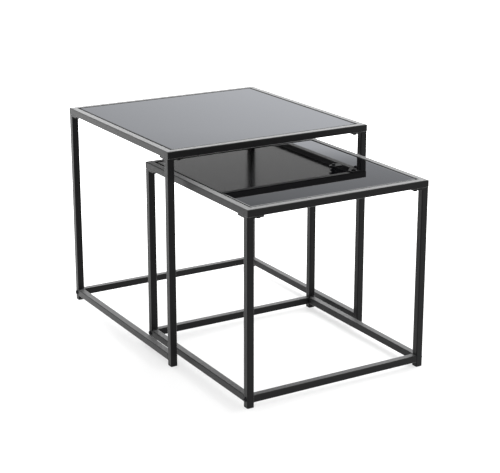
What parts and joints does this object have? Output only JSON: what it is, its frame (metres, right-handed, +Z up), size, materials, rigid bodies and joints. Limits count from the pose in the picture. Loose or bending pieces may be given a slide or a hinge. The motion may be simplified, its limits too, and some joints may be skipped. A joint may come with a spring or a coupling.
{
  "type": "nesting tables",
  "caption": "Nest of two square side tables: black square-tube steel frames with inset glossy black glass tops; the smaller slides in under the larger.",
  "frame": {"origin": "middle of the rectangle that both tables cover together on the floor, at floor level, with the small table partly drawn out", "axes": "+X to the right as seen from the open front, -Y to the front, the way the small table is drawn out, +Z up"},
  "size_m": [0.5166, 0.783, 0.485],
  "materials": {
    "powder_coat": "semi-gloss black powder coat on steel tube",
    "black_glass": "polished opaque black tempered glass",
    "foot_plastic": "moulded black plastic",
    "pad_rubber": "soft black rubber",
    "black_bolts": "black-coated steel",
    "zinc_steel": "zinc-plated steel"
  },
  "bodies": {
    "large_table": {"large_rail_front": "powder_coat", "large_rail_right": "powder_coat", "large_stretcher_right": "powder_coat", "large_rail_back": "powder_coat", "large_stretcher_back": "powder_coat", "large_rail_left": "powder_coat", "large_stretcher_left": "powder_coat", "large_leg_front_left": "powder_coat", "large_corner_plate_front_left": "powder_coat", "large_foot_cap_front_left": "foot_plastic", "large_leg_front_right": "powder_coat", "large_corner_plate_front_right": "powder_coat", "large_foot_cap_front_right": "foot_plastic", "large_leg_back_right": "powder_coat", "large_corner_plate_back_right": "powder_coat", "large_foot_cap_back_right": "foot_plastic", "large_leg_back_left": "powder_coat", "large_corner_plate_back_left": "powder_coat", "large_foot_cap_back_left": "foot_plastic", "large_glass_tab_front_left": "powder_coat", "large_glass_tab_back_left": "powder_coat", "large_glass_tab_front_right": "powder_coat", "large_glass_tab_back_right": "powder_coat", "large_glass_top": "black_glass", "large_suction_pads": "pad_rubber", "large_plate_bolts": "black_bolts", "large_rail_nuts": "zinc_steel", "large_stretcher_bolts": "black_bolts", "large_stretcher_plugs": "zinc_steel"},
    "small_table": {"small_rail_front": "powder_coat", "small_stretcher_front": "powder_coat", "small_rail_right": "powder_coat", "small_stretcher_right": "powder_coat", "small_rail_back": "powder_coat", "small_stretcher_back": "powder_coat", "small_rail_left": "powder_coat", "small_stretcher_left": "powder_coat", "small_leg_front_left": "powder_coat", "small_corner_plate_front_left": "powder_coat", "small_foot_cap_front_left": "foot_plastic", "small_leg_front_right": "powder_coat", "small_corner_plate_front_right": "powder_coat", "small_foot_cap_front_right": "foot_plastic", "small_leg_back_right": "powder_coat", "small_corner_plate_back_right": "powder_coat", "small_foot_cap_back_right": "foot_plastic", "small_leg_back_left": "powder_coat", "small_corner_plate_back_left": "powder_coat", "small_foot_cap_back_left": "foot_plastic", "small_glass_tab_front_left": "powder_coat", "small_glass_tab_back_left": "powder_coat", "small_glass_tab_front_right": "powder_coat", "small_glass_tab_back_right": "powder_coat", "small_glass_top": "black_glass", "small_suction_pads": "pad_rubber", "small_plate_bolts": "black_bolts", "small_rail_nuts": "zinc_steel", "small_stretcher_bolts": "black_bolts", "small_stretcher_plugs": "zinc_steel"}
  },
  "joints": [
    {"name": "nest_slide", "type": "slide", "parent": "large_table", "child": "small_table", "axis": [0, -1, 0], "range_m": [-0.273, 0.2]}
  ]
}
